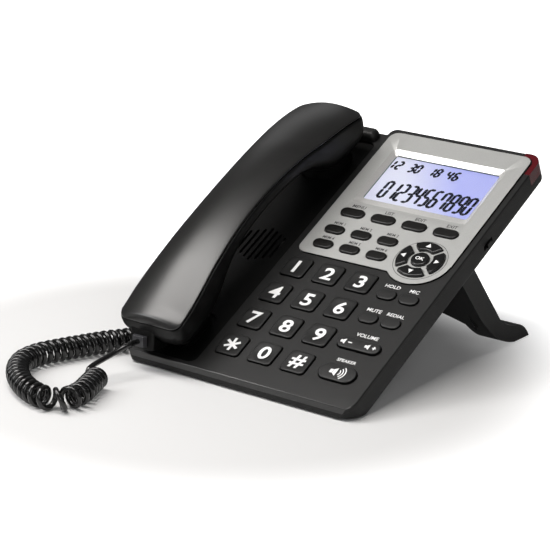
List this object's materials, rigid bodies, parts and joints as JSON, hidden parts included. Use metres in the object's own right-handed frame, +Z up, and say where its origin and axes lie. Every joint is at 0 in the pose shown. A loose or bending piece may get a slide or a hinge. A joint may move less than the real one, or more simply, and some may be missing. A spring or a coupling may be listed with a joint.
{
  "type": "corded telephone",
  "caption": "Corded desk telephone on a rear stand: tilted base with large keys, display panel and hook switch, lifting handset on a curly cord.",
  "frame": {"origin": "bottom centre of the box round the telephone without its cord and plugs, at the surface that it stands on", "axes": "+X to the right seen from the front, +Y to the back, +Z up"},
  "size_m": [0.1963, 0.3065, 0.1324],
  "materials": {
    "case_plastic": "fine satin texture, charcoal black",
    "handset_plastic": "satin black, soft sheen",
    "panel_paint": "warm silver-grey metallic paint",
    "window": "clear window",
    "display": "backlit glass with dark segments",
    "lamp_lens": "clear red lens",
    "key_plastic": "dark grey moulded keys",
    "panel_key_plastic": "dark grey moulded keys",
    "cord_jacket": "glossy black jacket",
    "plug_clear": "clear moulded plug",
    "socket_plastic": "black moulding",
    "board": "green printed board",
    "rubber": "matt rubber",
    "speaker_metal": "pressed steel",
    "screw_steel": "zinc plated"
  },
  "bodies": {
    "base": {"lower_case": "case_plastic", "upper_case": "case_plastic", "display_panel": "panel_paint", "display_window": "window", "display_module": "display", "message_lamp": "lamp_lens", "base_plug": "plug_clear", "base_jack": "socket_plastic", "line_jack": "socket_plastic", "loudspeaker": "speaker_metal", "main_board": "board", "keypad_mat": "rubber", "case_screws": "screw_steel", "rear_bumpers": "rubber", "rear_stand": "case_plastic", "stand_pads": "rubber", "front_feet": "rubber", "handset_cord": "cord_jacket"},
    "handset": {"handset_upper_shell": "handset_plastic", "handset_lower_shell": "handset_plastic", "handset_plug": "plug_clear", "receiver_capsule": "speaker_metal", "microphone_capsule": "speaker_metal"},
    "hook": {"hook_plunger": "key_plastic"},
    "switch": {"ringer_switch": "key_plastic"},
    "rocker": {"volume_rocker": "key_plastic"},
    "number_key_star_body": {"number_key_star": "key_plastic"},
    "number_key_0_body": {"number_key_0": "key_plastic"},
    "number_key_hash_body": {"number_key_hash": "key_plastic"},
    "number_key_7_body": {"number_key_7": "key_plastic"},
    "number_key_8_body": {"number_key_8": "key_plastic"},
    "number_key_9_body": {"number_key_9": "key_plastic"},
    "number_key_4_body": {"number_key_4": "key_plastic"},
    "number_key_5_body": {"number_key_5": "key_plastic"},
    "number_key_6_body": {"number_key_6": "key_plastic"},
    "number_key_1_body": {"number_key_1": "key_plastic"},
    "number_key_2_body": {"number_key_2": "key_plastic"},
    "number_key_3_body": {"number_key_3": "key_plastic"},
    "function_key_1_body": {"function_key_1": "panel_key_plastic"},
    "function_key_2_body": {"function_key_2": "panel_key_plastic"},
    "function_key_3_body": {"function_key_3": "panel_key_plastic"},
    "function_key_4_body": {"function_key_4": "panel_key_plastic"},
    "memory_key_1_body": {"memory_key_1": "panel_key_plastic"},
    "memory_key_2_body": {"memory_key_2": "panel_key_plastic"},
    "memory_key_3_body": {"memory_key_3": "panel_key_plastic"},
    "memory_key_4_body": {"memory_key_4": "panel_key_plastic"},
    "memory_key_5_body": {"memory_key_5": "panel_key_plastic"},
    "memory_key_6_body": {"memory_key_6": "panel_key_plastic"},
    "oval_key_1_body": {"oval_key_1": "key_plastic"},
    "oval_key_2_body": {"oval_key_2": "key_plastic"},
    "oval_key_3_body": {"oval_key_3": "key_plastic"},
    "oval_key_4_body": {"oval_key_4": "key_plastic"},
    "nav_key_right_body": {"nav_key_right": "panel_key_plastic"},
    "nav_key_up_body": {"nav_key_up": "panel_key_plastic"},
    "nav_key_left_body": {"nav_key_left": "panel_key_plastic"},
    "nav_key_down_body": {"nav_key_down": "panel_key_plastic"},
    "nav_key_centre_body": {"nav_key_centre": "panel_key_plastic"},
    "speaker_button_body": {"speaker_button": "key_plastic"}
  },
  "joints": [
    {"name": "handset_lift", "type": "slide", "parent": "base", "child": "handset", "axis": [0, -0.4756, 0.8796], "range_m": [0, 0.06], "deforming": ["handset_cord"]},
    {"name": "hook_travel", "type": "slide", "parent": "base", "child": "hook", "axis": [0, -0.4756, 0.8796], "range_m": [0, 0.004]},
    {"name": "switch_slide", "type": "slide", "parent": "base", "child": "switch", "axis": [0, 0.8796, 0.4756], "range_m": [-0.0025, 0.0025]},
    {"name": "rocker_tilt", "type": "hinge", "parent": "base", "child": "rocker", "pos_m": [0.05486, -0.05501, 0.02635], "axis": [0, 0.8796, 0.4756], "range_deg": [-3, 3], "stiffness_Nm_per_rad": 0.4},
    {"name": "number_key_star_press", "type": "slide", "parent": "base", "child": "number_key_star_body", "axis": [0, 0.4756, -0.8796], "range_m": [0, 0.0012], "stiffness_N_per_m": 800},
    {"name": "number_key_0_press", "type": "slide", "parent": "base", "child": "number_key_0_body", "axis": [0, 0.4756, -0.8796], "range_m": [0, 0.0012], "stiffness_N_per_m": 800},
    {"name": "number_key_hash_press", "type": "slide", "parent": "base", "child": "number_key_hash_body", "axis": [0, 0.4756, -0.8796], "range_m": [0, 0.0012], "stiffness_N_per_m": 800},
    {"name": "number_key_7_press", "type": "slide", "parent": "base", "child": "number_key_7_body", "axis": [0, 0.4756, -0.8796], "range_m": [0, 0.0012], "stiffness_N_per_m": 800},
    {"name": "number_key_8_press", "type": "slide", "parent": "base", "child": "number_key_8_body", "axis": [0, 0.4756, -0.8796], "range_m": [0, 0.0012], "stiffness_N_per_m": 800},
    {"name": "number_key_9_press", "type": "slide", "parent": "base", "child": "number_key_9_body", "axis": [0, 0.4756, -0.8796], "range_m": [0, 0.0012], "stiffness_N_per_m": 800},
    {"name": "number_key_4_press", "type": "slide", "parent": "base", "child": "number_key_4_body", "axis": [0, 0.4756, -0.8796], "range_m": [0, 0.0012], "stiffness_N_per_m": 800},
    {"name": "number_key_5_press", "type": "slide", "parent": "base", "child": "number_key_5_body", "axis": [0, 0.4756, -0.8796], "range_m": [0, 0.0012], "stiffness_N_per_m": 800},
    {"name": "number_key_6_press", "type": "slide", "parent": "base", "child": "number_key_6_body", "axis": [0, 0.4756, -0.8796], "range_m": [0, 0.0012], "stiffness_N_per_m": 800},
    {"name": "number_key_1_press", "type": "slide", "parent": "base", "child": "number_key_1_body", "axis": [0, 0.4756, -0.8796], "range_m": [0, 0.0012], "stiffness_N_per_m": 800},
    {"name": "number_key_2_press", "type": "slide", "parent": "base", "child": "number_key_2_body", "axis": [0, 0.4756, -0.8796], "range_m": [0, 0.0012], "stiffness_N_per_m": 800},
    {"name": "number_key_3_press", "type": "slide", "parent": "base", "child": "number_key_3_body", "axis": [0, 0.4756, -0.8796], "range_m": [0, 0.0012], "stiffness_N_per_m": 800},
    {"name": "function_key_1_press", "type": "slide", "parent": "base", "child": "function_key_1_body", "axis": [0, 0.4756, -0.8796], "range_m": [0, 0.0012], "stiffness_N_per_m": 800},
    {"name": "function_key_2_press", "type": "slide", "parent": "base", "child": "function_key_2_body", "axis": [0, 0.4756, -0.8796], "range_m": [0, 0.0012], "stiffness_N_per_m": 800},
    {"name": "function_key_3_press", "type": "slide", "parent": "base", "child": "function_key_3_body", "axis": [0, 0.4756, -0.8796], "range_m": [0, 0.0012], "stiffness_N_per_m": 800},
    {"name": "function_key_4_press", "type": "slide", "parent": "base", "child": "function_key_4_body", "axis": [0, 0.4756, -0.8796], "range_m": [0, 0.0012], "stiffness_N_per_m": 800},
    {"name": "memory_key_1_press", "type": "slide", "parent": "base", "child": "memory_key_1_body", "axis": [0, 0.4756, -0.8796], "range_m": [0, 0.0012], "stiffness_N_per_m": 800},
    {"name": "memory_key_2_press", "type": "slide", "parent": "base", "child": "memory_key_2_body", "axis": [0, 0.4756, -0.8796], "range_m": [0, 0.0012], "stiffness_N_per_m": 800},
    {"name": "memory_key_3_press", "type": "slide", "parent": "base", "child": "memory_key_3_body", "axis": [0, 0.4756, -0.8796], "range_m": [0, 0.0012], "stiffness_N_per_m": 800},
    {"name": "memory_key_4_press", "type": "slide", "parent": "base", "child": "memory_key_4_body", "axis": [0, 0.4756, -0.8796], "range_m": [0, 0.0012], "stiffness_N_per_m": 800},
    {"name": "memory_key_5_press", "type": "slide", "parent": "base", "child": "memory_key_5_body", "axis": [0, 0.4756, -0.8796], "range_m": [0, 0.0012], "stiffness_N_per_m": 800},
    {"name": "memory_key_6_press", "type": "slide", "parent": "base", "child": "memory_key_6_body", "axis": [0, 0.4756, -0.8796], "range_m": [0, 0.0012], "stiffness_N_per_m": 800},
    {"name": "oval_key_1_press", "type": "slide", "parent": "base", "child": "oval_key_1_body", "axis": [0, 0.4756, -0.8796], "range_m": [0, 0.0012], "stiffness_N_per_m": 800},
    {"name": "oval_key_2_press", "type": "slide", "parent": "base", "child": "oval_key_2_body", "axis": [0, 0.4756, -0.8796], "range_m": [0, 0.0012], "stiffness_N_per_m": 800},
    {"name": "oval_key_3_press", "type": "slide", "parent": "base", "child": "oval_key_3_body", "axis": [0, 0.4756, -0.8796], "range_m": [0, 0.0012], "stiffness_N_per_m": 800},
    {"name": "oval_key_4_press", "type": "slide", "parent": "base", "child": "oval_key_4_body", "axis": [0, 0.4756, -0.8796], "range_m": [0, 0.0012], "stiffness_N_per_m": 800},
    {"name": "nav_key_right_press", "type": "slide", "parent": "base", "child": "nav_key_right_body", "axis": [0, 0.4756, -0.8796], "range_m": [0, 0.0012], "stiffness_N_per_m": 800},
    {"name": "nav_key_up_press", "type": "slide", "parent": "base", "child": "nav_key_up_body", "axis": [0, 0.4756, -0.8796], "range_m": [0, 0.0012], "stiffness_N_per_m": 800},
    {"name": "nav_key_left_press", "type": "slide", "parent": "base", "child": "nav_key_left_body", "axis": [0, 0.4756, -0.8796], "range_m": [0, 0.0012], "stiffness_N_per_m": 800},
    {"name": "nav_key_down_press", "type": "slide", "parent": "base", "child": "nav_key_down_body", "axis": [0, 0.4756, -0.8796], "range_m": [0, 0.0012], "stiffness_N_per_m": 800},
    {"name": "nav_key_centre_press", "type": "slide", "parent": "base", "child": "nav_key_centre_body", "axis": [0, 0.4756, -0.8796], "range_m": [0, 0.0012], "stiffness_N_per_m": 800},
    {"name": "speaker_button_press", "type": "slide", "parent": "base", "child": "speaker_button_body", "axis": [0, 0.4756, -0.8796], "range_m": [0, 0.0012], "stiffness_N_per_m": 800}
  ],
  "couplings": [
    {"joint": "hook_travel", "follows": "handset_lift", "ratio": 0.066667}
  ]
}
